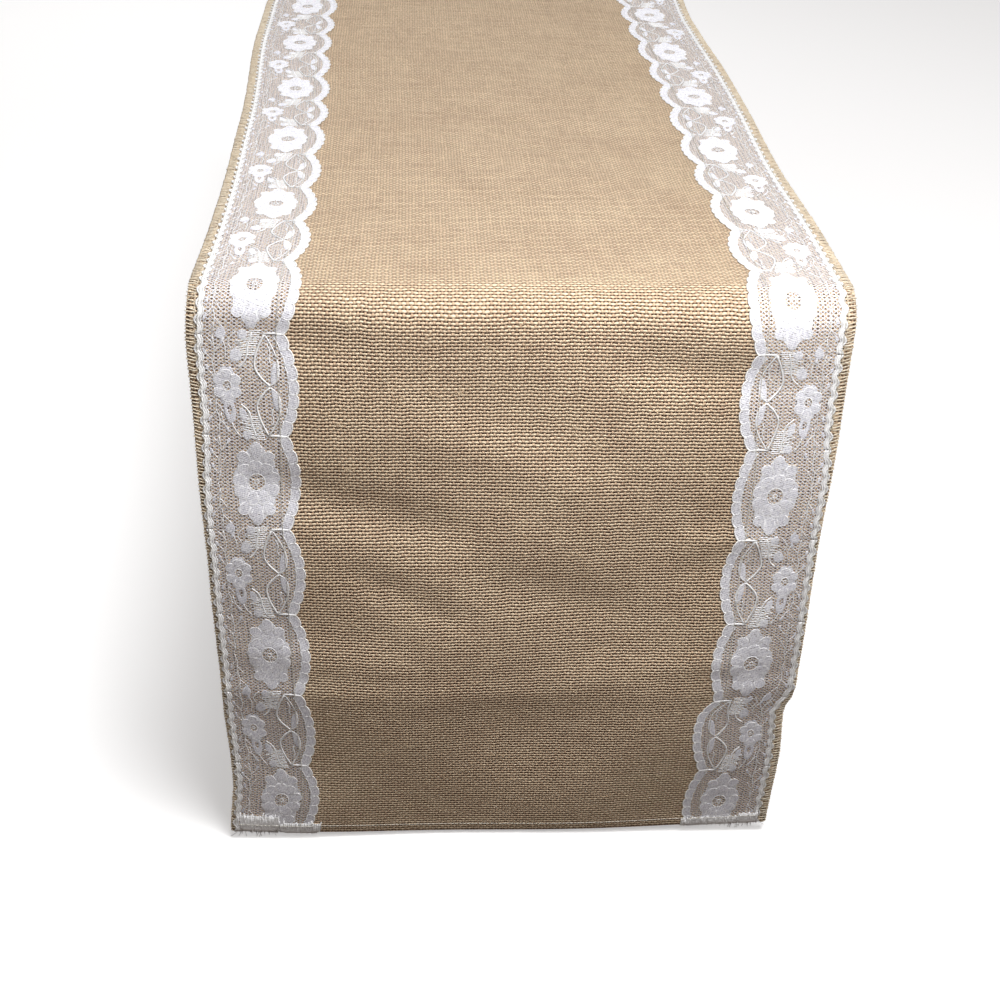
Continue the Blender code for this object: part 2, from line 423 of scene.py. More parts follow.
# %% Burlap material
def burlap_material():
    material, tree, shader = new_material("burlap_weave", 0.92)
    u, v = cloth_coordinates(tree)
    drift_u = noise(tree, u / (16 * MM), v / (7 * MM), detail=2.0) - 0.5
    drift_v = noise(tree, u / (7 * MM), v / (16 * MM), 9.0, detail=2.0) - 0.5
    place_u = u / WARP_PITCH + MANY + 0.8 * drift_u
    place_v = v / WEFT_PITCH + MANY + 0.8 * drift_v
    warp, warp_offset, warp_round, warp_tone = yarn(tree, place_u, v, 0.32)
    weft, weft_offset, weft_round, weft_tone = yarn(tree, place_v, u, 0.37)
    side = (warp + weft).modulo(2) * 2 - 1
    warp_level = side * (weft_offset * math.pi + math.pi / 2).sine() * 0.62 + warp_round * 0.40
    weft_level = side * (warp_offset * math.pi + math.pi / 2).sine() * -0.30 + weft_round * 0.70
    warp_there, weft_there = warp_round.ramp(0.02, 0.45), weft_round.ramp(0.02, 0.45)
    warp_height = warp_level * warp_there - 0.7 * (1 - warp_there)
    weft_height = weft_level * weft_there - 0.7 * (1 - weft_there)
    height = warp_height.at_least(weft_height)
    warp_on_top = warp_height.over(weft_height)
    tone = warp_tone * warp_on_top + weft_tone * (1 - warp_on_top)
    fine, long = HAIR_WIDTH, HAIR_LENGTH
    hairs = (noise(tree, u / fine, v / long, detail=2.0) * warp_on_top
             + noise(tree, u / long, v / fine, 5.0, detail=2.0) * (1 - warp_on_top))
    patches = noise(tree, u / (60 * MM), v / (45 * MM), 2.0, detail=3.0)
    share = tone.ramp(0.25, 0.75) * 0.55 + hairs.ramp(0.3, 0.7) * 0.3 + patches.ramp(0.3, 0.7) * 0.15
    jute = mix_colours(tree, share, JUTE_DARK, JUTE)
    # Painted highlight: the higher a yarn stands, the lighter it is painted, and a weft on top lighter than a
    # warp, as if lit from above.
    painted_highlight = height.ramp(0.1, 0.8) * (0.55 + 0.45 * share) * (1 - 0.6 * warp_on_top)
    jute_and_painted_highlight = mix_colours(tree, painted_highlight, jute, JUTE_PAINTED_HIGHLIGHT)
    # Painted shade: low places, the holes between the yarns and the yarns' flanks, are painted dark.
    feed(tree, shader, "Base Color", mix_colours(tree, height.ramp(-0.26, 0.5), PAINTED_HOLE_SHADE, jute_and_painted_highlight))
    bump(tree, shader, height + 0.12 * hairs, YARN_RELIEF)
    return describe(material)


BURLAP = burlap_material()


# %% [markdown]
# ## Lace threads and net
#
# The lace is knitted from fine white thread. Its motifs are packed so densely that they look like satin
# with fine rows in it. Between them is an open net of hexagons a little over a millimetre across. Making
# each net thread as a mesh would take millions of faces, so the net is one sheet whose alpha is the net.

# %% Satin of the motifs
# Painted shade: the dark grey of the shade inside the pinholes.
PINHOLE_PAINTED_SHADE = (0.36, 0.33, 0.34)


def satin_material(name, shade, light):
    """Dense knitting: short slanting strokes of thread, with pinholes between them."""
    material, tree, shader = new_material(name, 0.75)
    u, v = cloth_coordinates(tree)
    sway = noise(tree, u / (4 * MM), v / (4 * MM), detail=2.0)
    rows = ((v + 0.35 * u) / (1.2 * MM) * math.tau + 9 * sway).sine() * 0.5 + 0.5
    strokes = noise(tree, (u - 0.4 * v) / (0.55 * MM), (v + 0.3 * u) / (1.9 * MM), 3.0 * sway, detail=2.0)
    knit = rows * 0.35 + strokes.ramp(0.3, 0.7) * 0.65
    pinholes = noise(tree, u / (1.3 * MM), v / (1.3 * MM), 8.0).ramp(0.57, 0.69) * (1 - rows).ramp(0.3, 0.9)
    fill = mix_colours(tree, knit.ramp(0.1, 0.8), shade, light)
    # Painted shade in the pinholes.
    feed(tree, shader, "Base Color", mix_colours(tree, 0.8 * pinholes, fill, PINHOLE_PAINTED_SHADE))
    bump(tree, shader, knit - pinholes, 0.16 * MM)
    return describe(material)


SATIN = satin_material("lace_satin", (0.66, 0.66, 0.74), (0.96, 0.96, 1.0))
SHELL_SATIN = satin_material("lace_shells", (0.62, 0.62, 0.69), (0.95, 0.95, 1.0))


# %% Lace cords
def lace_thread_material():
    material, tree, shader = new_material("lace_thread", 0.6)
    u, v = cloth_coordinates(tree)
    twist = ((u + v) / (0.5 * MM) * math.tau).sine() * 0.5 + 0.5
    grain = noise(tree, u / (0.7 * MM), v / (0.7 * MM), detail=2.0)
    share = (0.35 * twist + 0.8 * grain).ramp(0.05, 0.6)
    feed(tree, shader, "Base Color", mix_colours(tree, share, (0.90, 0.90, 0.96), (1.0, 1.0, 1.0)))
    bump(tree, shader, twist, 0.06 * MM)
    return describe(material)


LACE_THREAD = lace_thread_material()


# %% Lace net
NET_PITCH = 1.4 * MM
NET_ROW = 2.1 * MM
NET_LEAN = 0.42


def net_material():
    material, tree, shader = new_material("lace_net", 0.75)
    u, v = cloth_coordinates(tree)
    sway = noise(tree, u / (6 * MM), v / (6 * MM), detail=2.0) - 0.5
    column = u / NET_PITCH + MANY + 0.9 * sway
    number = (column + 0.5).floor()
    lean = (number.modulo(2) * 2 - 1) * NET_LEAN
    zigzag = ((v / NET_ROW + MANY + 0.7 * sway).fraction() - 0.5).size() * 4 - 1
    gap = (column - number - lean * zigzag).size()
    uneven = 0.12 * noise(tree, u / (0.8 * MM), v / (0.8 * MM), 6.0)
    thread = 1 - gap.ramp(0.09 + uneven, 0.20 + uneven)
    feed(tree, shader, "Base Color", mix_colours(tree, sway + 0.5, (0.88, 0.88, 0.95), (0.97, 0.97, 1.0)))
    feed(tree, shader, "Alpha", thread)
    bump(tree, shader, thread, 0.1 * MM)
    return describe(material)


NET = net_material()


# %% Edging and sewing thread materials
def spun_material(name, dark, light, pitch):
    """Plied thread: a slanting twist with a little random tone."""
    material, tree, shader = new_material(name, 0.75)
    u, v = cloth_coordinates(tree)
    twist = ((u * 1.7 + v) / pitch * math.tau).sine() * 0.5 + 0.5
    tone = noise(tree, u / (3 * MM), v / (3 * MM), detail=3.0)
    feed(tree, shader, "Base Color", mix_colours(tree, 0.4 * twist + 0.6 * tone.ramp(0.3, 0.7), dark, light))
    bump(tree, shader, twist, 0.1 * MM)
    return describe(material)


EDGING = spun_material("edging_thread", (0.66, 0.54, 0.38), (0.97, 0.90, 0.76), 0.7 * MM)
SEWING = spun_material("sewing_thread", (0.60, 0.57, 0.50), (0.88, 0.86, 0.80), 0.6 * MM)
FIBRE = spun_material("jute_fibre", (0.55, 0.40, 0.24), (0.95, 0.82, 0.60), 3 * MM)


# %% [markdown]
# ## Making pieces on the flat pattern
#
# A flat piece is a list of points and faces. Two shapes make nearly all of the lace: a `patch`, a small
# domed pad with any outline, such as a petal or a leaf, and a `cord`, a thread that follows a curve.

# %% Flat pieces
# How high a pad is, from its outline (0) to its middle, or to the rim of its opening (1).
PAD_PROFILE = ((0, 0.35), (0.07, 0.85), (0.25, 1.0), (0.5, 1.0), (0.75, 1.0))
RING_PROFILE = ((0, 0.35), (0.07, 0.85), (0.2, 1.0), (0.35, 1.0), (0.5, 1.0), (0.65, 1.0), (0.8, 1.0),
                (0.93, 0.85), (1, 0.35))
CORD_FLANK = 0.25


class FlatPiece:
    """Points (a, b, h) in millimetres: a in from the lace's straight edge, b along it, h up."""

    def __init__(self):
        self.points, self.faces = [], []

    def ring_faces(self, low, high, count):
        for i in range(count):
            j = (i + 1) % count
            self.faces.append((low + i, low + j, high + j, high + i))

    def patch(self, outline, rise, base=0.0, hole=None):
        """A flat pad with a soft edge. hole is the outline of its opening, point for point, if it has one."""
        outline = np.asarray(outline, float)
        count, first = len(outline), len(self.points)
        inner = np.asarray(hole, float) if hole is not None else np.repeat(outline.mean(0)[None], count, 0)
        stops = PAD_PROFILE if hole is None else RING_PROFILE
        for share, level in stops:
            self.points += [(a, b, base + rise * level) for a, b in outline + (inner - outline) * share]
        for ring in range(len(stops) - 1):
            self.ring_faces(first + ring * count, first + (ring + 1) * count, count)
        last, under = first + (len(stops) - 1) * count, len(self.points)
        self.points += [(a, b, base) for a, b in outline]
        self.ring_faces(under, first, count)
        if hole is None:
            top = len(self.points)
            self.points.append((*inner[0], base + rise))
            self.faces += [(last + i, last + (i + 1) % count, top) for i in range(count)]
            self.faces.append(tuple(reversed(range(under, under + count))))
        else:
            within = len(self.points)
            self.points += [(a, b, base) for a, b in inner]
            self.ring_faces(last, within, count)
            self.ring_faces(within, under, count)

    def cord(self, path, width, height, base=0.0, closed=False):
        """A thread along a path, flat underneath and ridged on top."""
        path = np.asarray(path, float)
        if closed:
            ahead, behind = np.roll(path, -1, 0), np.roll(path, 1, 0)
        else:
            ahead, behind = np.vstack([path[1:], path[-1:]]), np.vstack([path[:1], path[:-1]])
        along = ahead - behind
        along /= np.linalg.norm(along, axis=1)[:, None] + 1e-9
        sideways = np.stack([-along[:, 1], along[:, 0]], 1) * width / 2
        first, count = len(self.points), len(path)
        for (a, b), (da, db) in zip(path, sideways):
            flank = base + CORD_FLANK * height
            self.points += [(a + da, b + db, flank), (a, b, base + height), (a - da, b - db, flank),
                            (a, b, base)]
        for i in range(count if closed else count - 1):
            here, there = first + 4 * i, first + 4 * ((i + 1) % count)
            for k in range(4):
                m = (k + 1) % 4
                self.faces.append((here + k, here + m, there + m, there + k))
        if not closed:
            last = first + 4 * (count - 1)
            self.faces += [(first + 3, first + 2, first + 1, first), (last, last + 1, last + 2, last + 3)]


# %% Round threads in space
def tube(points, path, radius, sides=5):
    """Adds a round thread along a 3-D path to a list of points, and returns its faces."""
    path = np.asarray(path, float)
    first = len(points)
    ahead = np.vstack([path[1:], 2 * path[-1:] - path[-2:-1]])
    behind = np.vstack([2 * path[:1] - path[1:2], path[:-1]])
    along = ahead - behind
    along /= np.linalg.norm(along, axis=1)[:, None]
    sideways = np.cross(along, (0.2, 0.97, 0.1))
    sideways /= np.linalg.norm(sideways, axis=1)[:, None]
    other = np.cross(along, sideways)
    faces = []
    for i, place in enumerate(path):
        for k in range(sides):
            angle = k / sides * math.tau
            outward = math.cos(angle) * sideways[i] + math.sin(angle) * other[i]
            points.append(tuple(place + radius * outward))
        if i:
            here, back = first + i * sides, first + (i - 1) * sides
            for k in range(sides):
                m = (k + 1) % sides
                faces.append((back + k, back + m, here + m, here + k))
    faces.append(tuple(first + k for k in reversed(range(sides))))
    faces.append(tuple(first + (len(path) - 1) * sides + k for k in range(sides)))
    return faces


# %% Curves for outlines and threads
def smooth_curve(points, steps=5, closed=False):
    """A smooth curve through given points."""
    points = np.asarray(points, float)
    if closed:
        padded = np.vstack([points[-1:], points, points[:2]])
    else:
        padded = np.vstack([2 * points[:1] - points[1:2], points, 2 * points[-1:] - points[-2:-1]])
    pieces = len(points) if closed else len(points) - 1
    curve = []
    for i in range(pieces):
        for t in np.arange(steps) / steps:
            curve.append(cubic_weights(np.array(t))[0] @ padded[i:i + 4])
    if not closed:
        curve.append(points[-1])
    return np.array(curve)


def oval(a, b, across, along, count=14):
    angle = np.arange(count) / count * math.tau
    return np.stack([a + across * np.cos(angle), b + along * np.sin(angle)], 1)


def blossom(a, b, across, along, lobes, depth, taper=0.0, count=4):
    """An oval with a lobed rim. taper narrows its two ends."""
    angle = np.arange(lobes * count) / (lobes * count) * math.tau
    size = 1 - depth + depth * np.abs(np.sin(lobes * angle / 2)) ** 0.6
    narrow = 1 - taper * np.abs(np.sin(angle)) ** 3
    return np.stack([a + across * size * narrow * np.cos(angle), b + along * size * np.sin(angle)], 1)


def petal(a, b, angle, length, width, count=12):
    """A petal that is narrow at (a, b) and broad and blunt at its far end."""
    t = np.arange(count) / count * math.tau
    reach = length * (1 - np.cos(t)) / 2
    spread = width / 2 * np.sin(t) * (0.62 + 0.38 * (1 - np.cos(t)) / 2) * 1.12
    return np.stack([a + reach * math.cos(angle) - spread * math.sin(angle),
                     b + reach * math.sin(angle) + spread * math.cos(angle)], 1)


def rim(outline, share=0.7):
    """The far part of a petal's outline, for the thread that edges it."""
    count = len(outline)
    keep = round(count * share / 2)
    return np.array([outline[(count // 2 + k) % count] for k in range(-keep, keep + 1)])


# %% [markdown]
# ## The lace's pattern
#
# One repeat is two scallops: one holds a large flower, the next a small flower with two scrolls. Each
# scallop is bordered by seven little shells. The sizes are in millimetres, from the straight edge inwards.

# %% Pattern sizes
SCALLOPS = 31
SCALLOP = 2 * FOLD / SCALLOPS / MM
SHELLS = 7
TIP = LACE_WIDTH / MM
SHELL_BULGE = 2.2
NOTCH, CREST = 45.2, TIP - SHELL_BULGE
NOTCH_FOOT, CREST_FOOT = 41.6, 48.4


def scallop_line(f, notch, crest, fullness):
    """How far in a scallop's line is, from one notch at f = 0 to the next at f = 1."""
    return notch + (crest - notch) * (1 - abs(2 * f - 1) ** fullness)


def border_line(f):
    return scallop_line(f, NOTCH, CREST, 2.0), (f - 0.5) * SCALLOP


def foot_line(f):
    return scallop_line(f, NOTCH_FOOT, CREST_FOOT, 2.0), (f - 0.5) * SCALLOP * 0.94


print(f"{SCALLOPS} scallops of {SCALLOP:.2f} mm, {SHELLS} shells on each")


# %% Scallop border
def shell_border(shells, thread, middle):
    """Seven shells round one scallop, centred on b = middle."""
    for k in range(SHELLS):
        (a0, b0), (a1, b1) = border_line(k / SHELLS), border_line((k + 1) / SHELLS)
        (c0, d0), (c1, d1) = foot_line(k / SHELLS), foot_line((k + 1) / SHELLS)
        out = np.array([b1 - b0, -(a1 - a0)]) / np.hypot(a1 - a0, b1 - b0)
        turn = np.linspace(0, math.pi, 9)
        share = (1 - np.cos(turn)) / 2
        bulge = SHELL_BULGE * np.sin(turn) ** 0.8
        lobe = np.stack([a0 + (a1 - a0) * share + out[0] * bulge, b0 + (b1 - b0) * share + out[1] * bulge], 1)
        feet = [(c1, d1), ((c0 + c1) / 2 + 0.4, (d0 + d1) / 2), (c0, d0)]
        shells.patch(np.vstack([lobe, feet]) + (0, middle), 0.12)
        thread.cord(lobe + (0, middle), 1.0, 0.36)
        divider = np.array([(a1, b1), ((a1 + c1) / 2, (b1 + d1) / 2 + 0.3), (c1, d1)])
        thread.cord(divider + (0, middle), 0.5, 0.3)
        inner = smooth_curve([(c0, d0), ((c0 + c1) / 2 + 0.7, (d0 + d1) / 2), (c1, d1)], 2)
        thread.cord(inner + (0, middle), 0.55, 0.28)
    notch = middle - SCALLOP / 2
    thread.cord([(NOTCH_FOOT - 5.5, notch), (NOTCH_FOOT, notch + 0.4), (NOTCH + 0.5, notch)], 1.5, 0.36)


# %% Large flower
# The three petals at each end: sideways, outwards from the middle, lean, length.
END_PETALS = ((-4.8, 12, 0.5, 8.5), (4.6, 12.5, -0.45, 8.0), (0.3, 13.5, 0.05, 12.5))


def large_flower(satin, thread, middle):
    """A peony: one dense lobed body with an opening, and petals lying over each other on it."""
    a, b = 29.6, middle
    body = blossom(a, b, 12.6, 24.5, 14, 0.09, taper=0.42)
    eye = oval(a, b, 4.6, 5.4, len(body))
    satin.patch(body, 0.14, hole=eye)
    thread.cord(body, 0.35, 0.22, closed=True)
    thread.cord(eye[::2], 0.55, 0.3, closed=True)
    thread.cord(oval(a, b, 1.2, 1.4, 8), 0.7, 0.24, closed=True)
    for k in range(6):
        angle = (k + 0.5) / 6 * math.tau
        thread.cord([(a + 1.3 * math.cos(angle), b + 1.5 * math.sin(angle)),
                     (a + 4.6 * math.cos(angle), b + 5.4 * math.sin(angle))], 0.28, 0.16)
    petals = []
    for k in range(9):
        angle = (k + 0.35) / 9 * math.tau
        start = (a + 5.0 * math.cos(angle), b + 6.0 * math.sin(angle))
        petals.append(petal(*start, math.atan2(1.2 * math.sin(angle), math.cos(angle)), 8.2, 7.8))
    for end in (-1, 1):
        for shift, out, lean, reach in END_PETALS:
            petals.append(petal(a + shift, b + end * out, end * (math.pi / 2 + lean), reach, 7.0))
    for k, outline in enumerate(petals):
        satin.patch(outline, 0.14, base=0.09 + 0.05 * (k % 3))
        thread.cord(rim(outline), 0.38, 0.34, base=0.05)


# %% Small flower
def small_flower(satin, thread, middle):
    a, b = 15.8, middle
    body = blossom(a, b, 7.0, 11.6, 8, 0.12, taper=0.1, count=5)
    eye = oval(a, b, 2.3, 3.1, len(body))
    satin.patch(body, 0.14, hole=eye)
    thread.cord(eye[::4], 0.45, 0.28, closed=True)
    thread.cord(oval(a, b, 0.8, 1.0, 6), 0.5, 0.22, closed=True)
    for k in range(6):
        angle = (k + 0.5) / 6 * math.tau
        start = (a + 2.7 * math.cos(angle), b + 3.8 * math.sin(angle))
        outline = petal(*start, math.atan2(1.5 * math.sin(angle), math.cos(angle)), 5.6, 6.2)
        satin.patch(outline, 0.14, base=0.10)
        thread.cord(rim(outline), 0.36, 0.30, base=0.05)


# %% Shapes of the scrolls and leaves
# Cords: (points, steps between points, width, height). Leaves: (outline, height, outline of its opening).
SCROLL_CORDS = (
    ([(38.7, 0.4), (34.6, 4.6), (31.6, 9.5), (31.2, 14), (33.0, 21), (36.6, 29.3)], 5, 1.25, 0.36),
    ([(38.7, 0.4), (42.0, 3.2), (43.9, 8.5), (43.4, 14), (41.6, 20), (39.2, 25), (37.0, 29.0)],
     4, 0.85, 0.32),
    ([(39.6, 13.0), (38.9, 16), (39.6, 19.5), (38.2, 23.5)], 3, 0.6, 0.28),
    ([(22.4, 10.6), (25.6, 13.6), (27.4, 18), (27.9, 23), (30.0, 30.3)], 4, 1.0, 0.34))
SCROLL_LEAF = [(39.4, 1.0), (42.6, 3.0), (44.2, 8.5), (43.2, 13.8), (40.8, 12.4), (39.6, 6.6)]
KNOB = [(22.6, 27.6), (25.4, 26.6), (27.6, 28.4), (26.8, 31.2), (23.8, 32.0)]
NEAR_LEAVES = (
    ([(13.4, 10.5), (17.6, 9.6), (19.4, 14.5), (18.6, 20.5), (15.8, 22.4), (13.6, 17.5)], 0.2,
     [(15.2, 12.2), (16.6, 11.8), (17.4, 13.8), (17.0, 16.2), (15.9, 16.8), (15.1, 14.6)]),
    ([(21.6, 12.8), (24.6, 14.4), (25.4, 19.5), (23.6, 21.0), (21.4, 17.0)], 0.18, None))
NEAR_CORDS = (([(17.0, 22.0), (18.6, 26.0), (21.6, 30.5)], 3, 0.6, 0.3),
              ([(11.4, 16.0), (12.6, 22.0), (16.4, 28.0)], 3, 0.4, 0.26))
FAR_LEAVES = (([(10.8, 28.6), (13.6, 27.0), (16.2, 29.0), (15.8, 32.4), (12.6, 33.4)], 0.2, None),
              ([(18.4, 15.4), (22.6, 14.0), (24.6, 17.6), (22.2, 21.4), (19.2, 19.8)], 0.18, None))
FAR_CORDS = (([(14.6, 26.8), (16.4, 21.0), (15.6, 14.5)], 3, 0.5, 0.28),
             ([(19.4, 21.0), (17.6, 24.6), (18.6, 28.0), (21.4, 31.0)], 3, 0.5, 0.28))
RUNGS, RUNG_STEP = 12, 1.25


# %% Scrolls, leaves and ladders
def ladder_rung(k):
    """The two ends of one rung. Its start sways, so that the ladder has a ragged side."""
    b = 16.6 + RUNG_STEP * k
    return np.array([21.5 + 0.26 * k - 1.8 * math.sin(2.1 * k), b]), np.array([31.3 + 0.32 * k, b + 1.1])


def scroll_half(satin, thread, middle, end):
    """Half of a leafy scallop, from its middle towards one notch. end is -1 or 1."""
    def put(points, steps=3, closed=False):
        return smooth_curve([(a, middle + end * b) for a, b in points], steps, closed)

    for points, steps, width, height in SCROLL_CORDS:
        thread.cord(put(points, steps), width, height)
    satin.patch(put(SCROLL_LEAF, closed=True), 0.2)
    for k in range(RUNGS):
        low, high = ladder_rung(k)
        thread.cord(put([low, (low + high) / 2 + (0, 0.5), high]), 0.6, 0.26)
        thread.cord(put([low, low + (0.2, 1.3)]), 0.4, 0.22)
    for outline, height, opening in NEAR_LEAVES if end < 0 else FAR_LEAVES:
        hole = None if opening is None else put(opening, closed=True)
        satin.patch(put(outline, closed=True), height, hole=hole)
    for points, steps, width, height in NEAR_CORDS if end < 0 else FAR_CORDS:
        thread.cord(put(points, steps), width, height)
    satin.patch(put(KNOB, closed=True), 0.18)


# %% Sprays
STEM = [(8.4, 0.0), (9.8, 6.0), (9.0, 13.0), (10.4, 20.0), (9.4, 29.6)]
# Twigs: where each leaves the stem, and where its tip is. Buds: place, direction, length.
TWIGS = ((9.6, 4.0, 6.0, 9.5), (9.4, 10.0, 13.0, 16.0), (9.2, 14.0, 5.6, 19.0), (10.3, 20.0, 14.2, 25.0),
         (10.0, 23.0, 6.4, 28.0))
BUDS = ((6.2, 8.6, 1.7, 3.6), (5.8, 18.0, 1.9, 3.8), (13.8, 24.0, 1.2, 4.0))


def sprays(satin, thread, middle, end):
    """The sparse twigs and little leaves between the flowers and the straight edge."""
    def put(points):
        return smooth_curve([(a, middle + end * b) for a, b in points], 3)

    thread.cord(put(STEM), 0.45, 0.24)
    for a, b, tip, reach in TWIGS:
        thread.cord(put([(a, b), ((a + tip) / 2 + 0.4, (b + reach) / 2), (tip, reach)]), 0.38, 0.22)
    for a, b, turn, length in BUDS:
        outline = petal(a, b, turn, length, 1.7, 8)
        satin.patch([(x, middle + end * (y - middle)) for x, y in outline + (0, middle)], 0.2)


# %% Straight edge
EDGE_WAVES = 7
# Each cord: distance in from the edge, swing of its waves, width, height.
EDGE_CORDS = ((1.2, 1.0, 1.1, 0.44), (2.4, 0.8, 2.6, 0.2), (3.8, 0.6, 0.9, 0.36))


def straight_edge(thread, middle):
    """The corded edge: a broad wavy band between two wavy cords, seven waves to a scallop."""
    places = np.linspace(-0.5, 0.5, 6 * EDGE_WAVES + 1)
    sway = np.cos(places * EDGE_WAVES * math.tau) + 0.35 * np.cos(places * 4 * math.tau)
    for away, swing, width, height in EDGE_CORDS:
        thread.cord(np.stack([away + swing * sway, middle + places * SCALLOP], 1), width, height)


# %% One repeat, in satin and in thread
def lace_repeat():
    satin, shells, thread = FlatPiece(), FlatPiece(), FlatPiece()
    large, small = 0.0, SCALLOP
    for middle in (large, small):
        shell_border(shells, thread, middle)
        straight_edge(thread, middle)
    large_flower(satin, thread, large)
    small_flower(satin, thread, small)
    for end in (-1, 1):
        scroll_half(satin, thread, small, end)
        sprays(satin, thread, small, end)
        sprays(satin, thread, large, end)
    return {"motifs": (satin, SATIN), "shells": (shells, SHELL_SATIN), "cords": (thread, LACE_THREAD)}


LACE_REPEAT = lace_repeat()
print("one repeat:", {kind: len(shape.faces) for kind, (shape, finish) in LACE_REPEAT.items()}, "faces")

# %% [markdown]
# ## Repeating with Geometry Nodes
#
# What repeats along the runner is made once and then placed by a small node tree: a line of points, a copy
# on each, and a little random shift, turn and size so that no two copies are quite the same.

# %% The repeating tree
def repeating_tree():
    """Line of points, random shift, a turned and sized copy on each, real mesh, one finish."""
    tree = bpy.data.node_groups.new("repeat_along_a_line", "GeometryNodeTree")
    face = tree.interface
    for name, kind in (("Pattern", "Object"), ("Count", "Int"), ("Start", "Vector"), ("Step", "Vector"),
                       ("Wander", "Vector"), ("Turn", "Float"), ("Size Change", "Float"), ("Seed", "Int"),
                       ("Finish", "Material")):
        face.new_socket(name, in_out="INPUT", socket_type="NodeSocket" + kind)
    face.new_socket("Geometry", in_out="OUTPUT", socket_type="NodeSocketGeometry")
    given = tree.nodes.new("NodeGroupInput")
    made = tree.nodes.new("NodeGroupOutput")

    def node(kind, settings=None, **links):
        new = tree.nodes.new(kind)
        for name, value in (settings or {}).items():
            setattr(new, name, value)
        for name, source in links.items():
            tree.links.new(source, new.inputs[name.replace("_", " ")])
        return new

    def random_between(kind, low_source, high_source, seed_shift):
        new = tree.nodes.new("FunctionNodeRandomValue")
        new.data_type = kind
        inputs = [s for s in new.inputs if s.enabled]
        tree.links.new(low_source, inputs[0])
        tree.links.new(high_source, inputs[1])
        shift = tree.nodes.new("ShaderNodeMath")
        shift.inputs[1].default_value = seed_shift
        tree.links.new(given.outputs["Seed"], shift.inputs[0])
        tree.links.new(shift.outputs[0], new.inputs["Seed"])
        return next(s for s in new.outputs if s.enabled)

    def scaled(source, factor):
        new = tree.nodes.new("ShaderNodeVectorMath")
        new.operation = "SCALE"
        tree.links.new(source, new.inputs[0])
        new.inputs["Scale"].default_value = factor
        return new.outputs[0]

    def arithmetic(operation, first, second):
        new = tree.nodes.new("ShaderNodeMath")
        new.operation = operation
        for slot, value in enumerate((first, second)):
            if isinstance(value, (int, float)):
                new.inputs[slot].default_value = value
            else:
                tree.links.new(value, new.inputs[slot])
        return new.outputs[0]

    line = node("GeometryNodeMeshLine", {"mode": "OFFSET"}, Count=given.outputs["Count"],
                Start_Location=given.outputs["Start"], Offset=given.outputs["Step"])
    wander = given.outputs["Wander"]
    shifted = node("GeometryNodeSetPosition", Geometry=line.outputs[0],
                   Offset=random_between("FLOAT_VECTOR", scaled(wander, -1.0), scaled(wander, 1.0), 0))
    pattern = node("GeometryNodeObjectInfo", Object=given.outputs["Pattern"])
    turn = given.outputs["Turn"]
    angle = random_between("FLOAT", arithmetic("MULTIPLY", turn, -1.0), turn, 1)
    rotation = tree.nodes.new("ShaderNodeCombineXYZ")
    tree.links.new(angle, rotation.inputs["Z"])
    change = given.outputs["Size Change"]
    size = random_between("FLOAT", arithmetic("SUBTRACT", 1.0, change), arithmetic("ADD", 1.0, change), 2)
    copies = node("GeometryNodeInstanceOnPoints", Points=shifted.outputs[0],
                  Instance=pattern.outputs["Geometry"], Rotation=rotation.outputs[0], Scale=size)
    real = node("GeometryNodeRealizeInstances", Geometry=copies.outputs[0])
    finished = node("GeometryNodeSetMaterial", Geometry=real.outputs[0], Material=given.outputs["Finish"])
    tree.links.new(finished.outputs[0], made.inputs[0])
    return tree


REPEAT = repeating_tree()
print("repeating tree:", len(REPEAT.nodes), "nodes")


# %% Running a tree
def run_tree(tree, inputs):
    """The mesh that a tree makes with these named inputs."""
    holder = bpy.data.objects.new("holder", bpy.data.meshes.new("holder"))
    bpy.context.collection.objects.link(holder)
    modifier = holder.modifiers.new("nodes", "NODES")
    modifier.node_group = tree
    for item in tree.interface.items_tree:
        if item.item_type == "SOCKET" and item.in_out == "INPUT" and item.name in inputs:
            modifier[item.identifier] = inputs[item.name]
    holder.update_tag()
    evaluated = holder.evaluated_get(bpy.context.evaluated_depsgraph_get())
    mesh = bpy.data.meshes.new_from_object(evaluated)
    bpy.data.objects.remove(holder)
    return mesh


# %% Meshes from points and faces
def new_object(name, points, faces):
    mesh = bpy.data.meshes.new(name)
    mesh.from_pydata([tuple(p) for p in points], [], faces)
    mesh.validate()
    piece = bpy.data.objects.new(name, mesh)
    bpy.context.collection.objects.link(piece)
    return piece


def outward_mesh(piece):
    """Turns every face outwards, whichever way its shape was mirrored."""
    bm = bmesh.new()
    bm.from_mesh(piece.data)
    bmesh.ops.recalc_face_normals(bm, faces=bm.faces)
    bm.to_mesh(piece.data)
    bm.free()


def flat_mesh(name, points, faces, outward=False):
    """A mesh without an object, for draping."""
    piece = new_object(name, points, faces)
    if outward:
        outward_mesh(piece)
    mesh = piece.data
    bpy.data.objects.remove(piece)
    return mesh


def pattern_object(points, faces):
    """The one shape that a repeating tree copies."""
    pattern = new_object("pattern", points, faces)
    outward_mesh(pattern)
    return pattern


# %% Repeating a pattern
def repeated(pattern, count, start, step, finish, wander=(0, 0, 0), turn=0.0, change=0.0, seed=1):
    """A flat mesh of count copies of the pattern, which is removed once it has been copied."""
    mesh = run_tree(REPEAT, {"Pattern": pattern, "Count": count, "Start": start, "Step": step,
                             "Wander": wander, "Turn": turn, "Size Change": change, "Seed": seed,
                             "Finish": finish})
    bpy.data.objects.remove(pattern)
    return mesh


# %% Cutting to length
LACE_END = RAW_END - 0.3 * MM
NEAR_THE_CUT = 70 * MM


